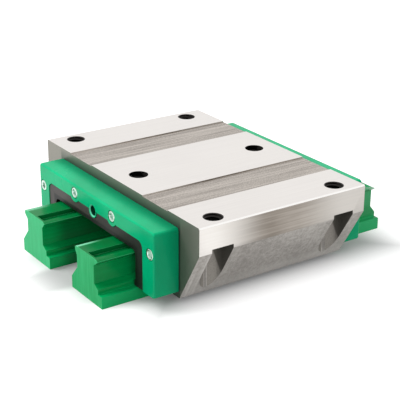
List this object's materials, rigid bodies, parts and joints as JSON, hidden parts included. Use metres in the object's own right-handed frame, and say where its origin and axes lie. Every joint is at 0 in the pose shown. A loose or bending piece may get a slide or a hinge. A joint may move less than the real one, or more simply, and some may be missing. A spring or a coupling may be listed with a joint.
{
  "type": "linear guide carriage",
  "caption": "Wide flanged carriage of a profiled linear guide with recirculating ball rows, end caps and wiper seals, standing on two plastic transport rails.",
  "frame": {"origin": "centre of the mounting face on top of the saddle", "axes": "+Z out of the mounting face, Y along the travel with the front cap at -Y, X across the carriage"},
  "size_m": [0.162, 0.1916, 0.05],
  "materials": {
    "ground_steel": "ground",
    "ball_steel": "polished",
    "screw_steel": "plated",
    "cap_plastic": "moulded, satin",
    "rail_plastic": "moulded, semi-gloss",
    "guide_plastic": "moulded, matt",
    "seal_rubber": "matt"
  },
  "bodies": {
    "carriage": {"saddle_body": "ground_steel", "end_cap_front": "cap_plastic", "end_cap_rear": "cap_plastic", "wiper_seal_front": "seal_rubber", "wiper_seal_rear": "seal_rubber", "return_guide_front_left": "guide_plastic", "return_guide_front_right": "guide_plastic", "return_guide_rear_left": "guide_plastic", "return_guide_rear_right": "guide_plastic", "retainer_upper_left": "guide_plastic", "retainer_centre_left": "guide_plastic", "retainer_lower_left": "guide_plastic", "retainer_upper_right": "guide_plastic", "retainer_centre_right": "guide_plastic", "retainer_lower_right": "guide_plastic", "balls_upper_left": "ball_steel", "balls_lower_left": "ball_steel", "balls_upper_right": "ball_steel", "balls_lower_right": "ball_steel", "cap_screw_front_outer_left": "screw_steel", "cap_screw_front_inner_left": "screw_steel", "cap_screw_front_inner_right": "screw_steel", "cap_screw_front_outer_right": "screw_steel", "cap_screw_rear_outer_left": "screw_steel", "cap_screw_rear_inner_left": "screw_steel", "cap_screw_rear_inner_right": "screw_steel", "cap_screw_rear_outer_right": "screw_steel", "lube_plug_front": "screw_steel", "lube_plug_rear": "screw_steel"},
    "left_rail": {"transport_rail_left": "rail_plastic"},
    "right_rail": {"transport_rail_right": "rail_plastic"}
  },
  "joints": [
    {"name": "left_rail_slide", "type": "slide", "parent": "carriage", "child": "left_rail", "axis": [0, 1, 0], "range_m": [-0.03, 0.02]},
    {"name": "right_rail_slide", "type": "slide", "parent": "carriage", "child": "right_rail", "axis": [0, 1, 0], "range_m": [-0.03, 0.02]}
  ]
}
